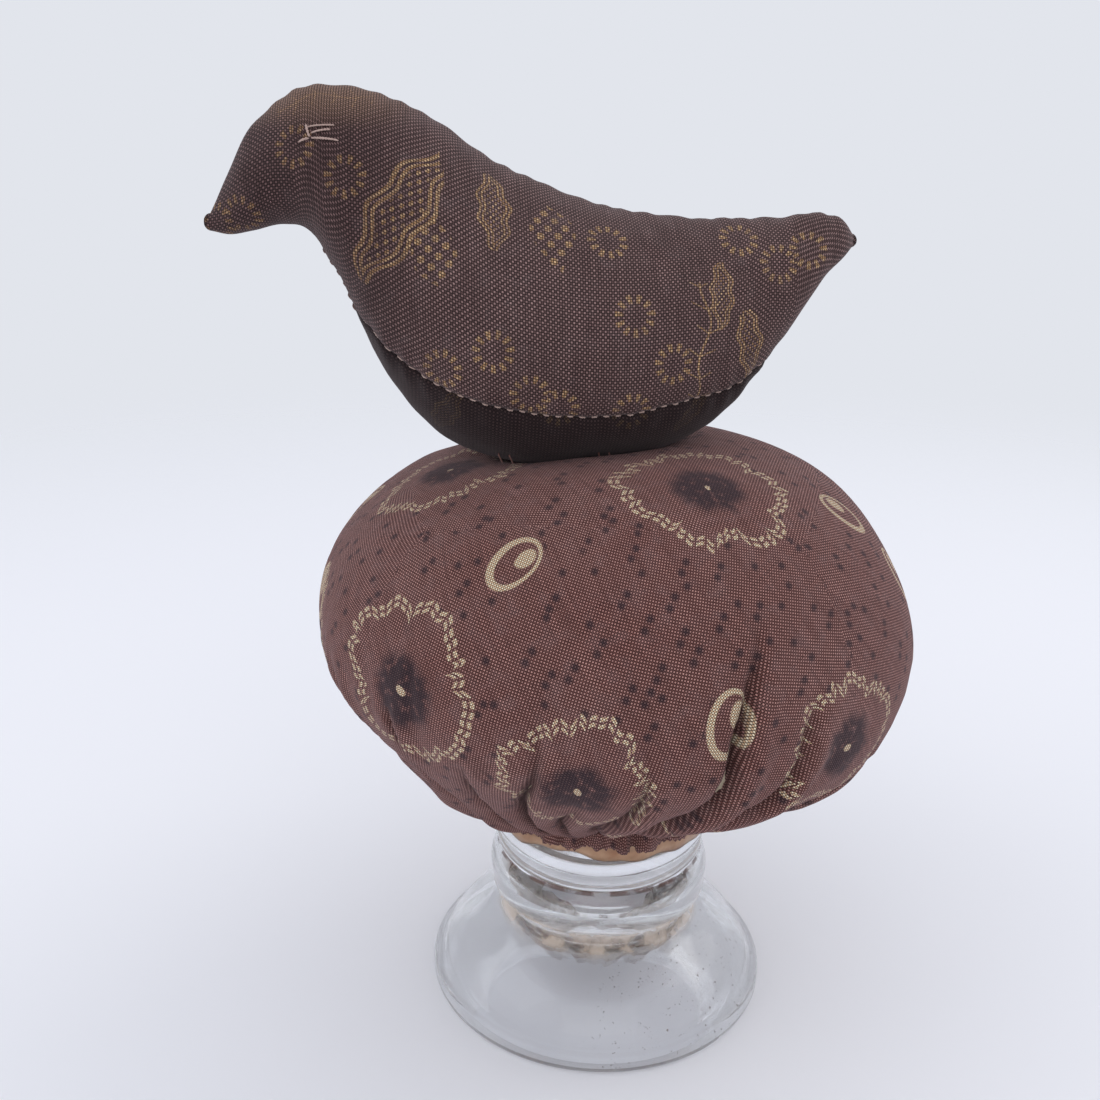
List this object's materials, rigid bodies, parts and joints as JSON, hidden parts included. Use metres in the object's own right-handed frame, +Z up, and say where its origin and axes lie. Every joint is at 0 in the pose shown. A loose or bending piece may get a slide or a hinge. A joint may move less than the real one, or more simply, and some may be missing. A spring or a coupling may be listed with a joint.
{
  "type": "pin cushion",
  "caption": "Round gathered pin cushion on a clear pressed-glass foot, with a stuffed cloth bird sewn on top.",
  "frame": {"origin": "centre of the ring on which the glass foot stands", "axes": "+Z up, the bird's beak towards -X, the bird's left side towards -Y"},
  "size_m": [0.1385, 0.1216, 0.1914],
  "materials": {
    "clear_glass": "clear, glossy, lightly soiled inside",
    "dark_residue": "crusted, matt with a few shiny spots",
    "amber_glue": "dried amber glue",
    "stuffing": "packed cotton waste",
    "cushion_calico": "plain-weave printed calico, faded",
    "bird_cotton": "plain-weave printed cotton, faded",
    "brown_thread": "twisted cotton thread",
    "pale_thread": "twisted cotton thread"
  },
  "bodies": {
    "root": {"glass_base": "clear_glass", "hollow_residue": "dark_residue", "stem_glue": "amber_glue", "cushion_stuffing": "stuffing", "cushion_cover": "cushion_calico", "gathering_thread": "brown_thread", "bird_stuffing": "stuffing", "bird_left_panel": "bird_cotton", "bird_right_panel": "bird_cotton", "bird_belly_gusset": "bird_cotton", "bird_back_seam_stitches": "brown_thread", "bird_left_gusset_stitches": "brown_thread", "bird_right_gusset_stitches": "brown_thread", "bird_breast_closing_stitches": "brown_thread", "bird_left_eye_stitches": "pale_thread", "bird_right_eye_stitches": "pale_thread", "bird_tacking_stitches": "brown_thread"}
  },
  "joints": []
}
